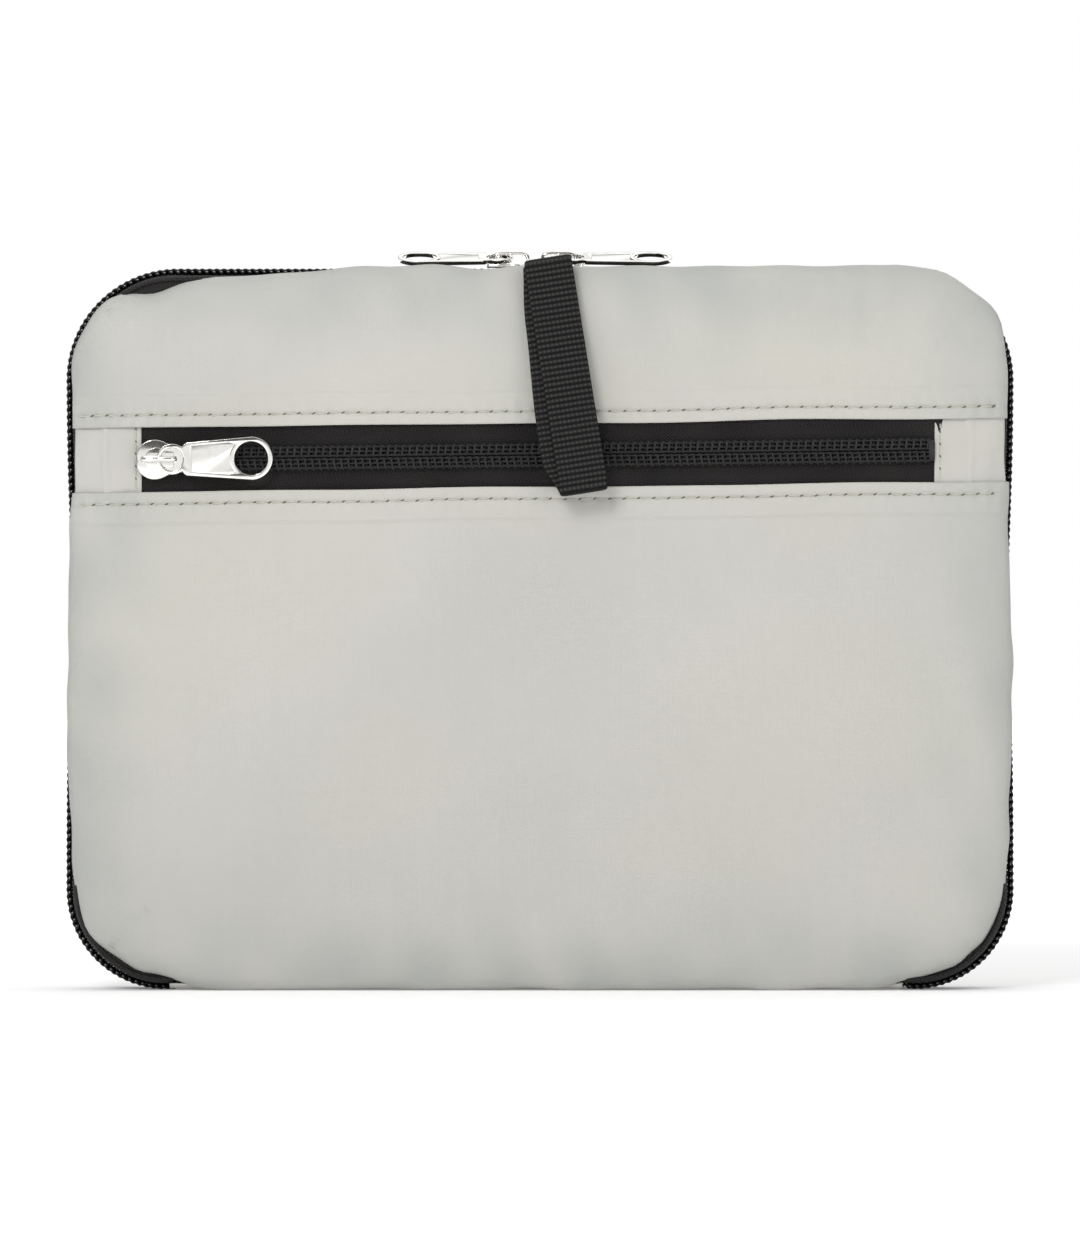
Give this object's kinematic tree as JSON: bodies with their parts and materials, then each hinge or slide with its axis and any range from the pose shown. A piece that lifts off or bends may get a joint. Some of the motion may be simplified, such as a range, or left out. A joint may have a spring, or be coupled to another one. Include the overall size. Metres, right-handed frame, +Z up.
{
  "type": "foldable tote bag",
  "caption": "Light grey foldable tote bag packed into its own rounded zipped pouch, with a front pocket zip and a black webbing hang loop.",
  "frame": {"origin": "middle of the flat base, under the middle of the pouch's thickness", "axes": "+X to the right across the pouch, -Y out of the front panel, +Z up"},
  "size_m": [0.238, 0.0403, 0.1858],
  "materials": {
    "pouch_fabric": "light warm grey plain-weave polyester with a slight sheen",
    "tote_fabric": "light warm grey plain-weave polyester, creased",
    "lining_fabric": "plain thin lining",
    "zip_tape": "black woven twill tape",
    "zip_coil": "black moulded coil",
    "binding": "black tape",
    "loop_webbing": "black ribbed webbing",
    "handle_webbing": "black ribbed webbing",
    "nickel": "bright polished nickel"
  },
  "bodies": {
    "back_half": {"back_panel": "pouch_fabric", "bottom_gusset": "pouch_fabric", "back_zip_tape": "zip_tape", "back_zip_coil": "zip_coil", "back_seam_binding": "binding", "left_zip_tack": "binding", "right_zip_tack": "binding", "tote_back_folds": "tote_fabric", "tote_back_handle": "handle_webbing"},
    "front_half": {"upper_front_panel": "pouch_fabric", "lower_front_panel": "pouch_fabric", "left_end_tab": "pouch_fabric", "right_end_tab": "pouch_fabric", "pocket_upper_tape": "zip_tape", "pocket_lower_tape": "zip_tape", "pocket_upper_coil": "zip_coil", "pocket_lower_coil": "zip_coil", "pocket_end_stops": "zip_coil", "pocket_lining": "lining_fabric", "front_zip_tape": "zip_tape", "front_zip_coil": "zip_coil", "front_seam_binding": "binding", "loop_root": "loop_webbing", "tote_front_folds": "tote_fabric"},
    "tote_flap": {"tote_middle_folds": "tote_fabric", "tote_mouth_hem": "tote_fabric", "tote_front_handle": "handle_webbing"},
    "pocket_slide_body": {"pocket_slider": "nickel"},
    "pocket_pull_body": {"pocket_puller": "nickel"},
    "left_slide_body": {"left_slider": "nickel"},
    "left_pull_body": {"left_puller": "nickel"},
    "right_slide_body": {"right_slider": "nickel"},
    "right_pull_body": {"right_puller": "nickel"},
    "loop_body": {"hang_loop": "loop_webbing"}
  },
  "joints": [
    {"name": "front_fold", "type": "hinge", "parent": "back_half", "child": "front_half", "pos_m": [0, -0.014, 0.001], "axis": [1, 0, 0], "range_deg": [0, 90]},
    {"name": "tote_unfold", "type": "hinge", "parent": "back_half", "child": "tote_flap", "pos_m": [0, -0.014, 0.001], "axis": [1, 0, 0], "range_deg": [0, 45]},
    {"name": "pocket_slide", "type": "slide", "parent": "front_half", "child": "pocket_slide_body", "axis": [0.9999, 0, 0.0122], "range_m": [0, 0.184]},
    {"name": "pocket_pull", "type": "hinge", "parent": "pocket_slide_body", "child": "pocket_pull_body", "pos_m": [-0.09519, -0.0183, 0.13284], "axis": [0.0122, 0, -0.9999], "range_deg": [0, 170]},
    {"name": "left_slide", "type": "slide", "parent": "back_half", "child": "left_slide_body", "axis": [-1, 0, 0], "range_m": [0, 0.076]},
    {"name": "left_pull", "type": "hinge", "parent": "left_slide_body", "child": "left_pull_body", "pos_m": [-0.0072, 0, 0.1837], "axis": [0, 0.9613, 0.2756], "range_deg": [0, 150]},
    {"name": "right_slide", "type": "slide", "parent": "back_half", "child": "right_slide_body", "axis": [1, 0, 0], "range_m": [0, 0.078]},
    {"name": "right_pull", "type": "hinge", "parent": "right_slide_body", "child": "right_pull_body", "pos_m": [0.0048, 0, 0.1837], "axis": [0, -0.9613, -0.2756], "range_deg": [0, 150]},
    {"name": "loop_swing", "type": "hinge", "parent": "front_half", "child": "loop_body", "pos_m": [0.002, -0.0169, 0.182], "axis": [-1, 0, 0], "range_deg": [0, 165]}
  ],
  "couplings": [
    {"joint": "tote_unfold", "follows": "front_fold", "ratio": 0.5}
  ]
}
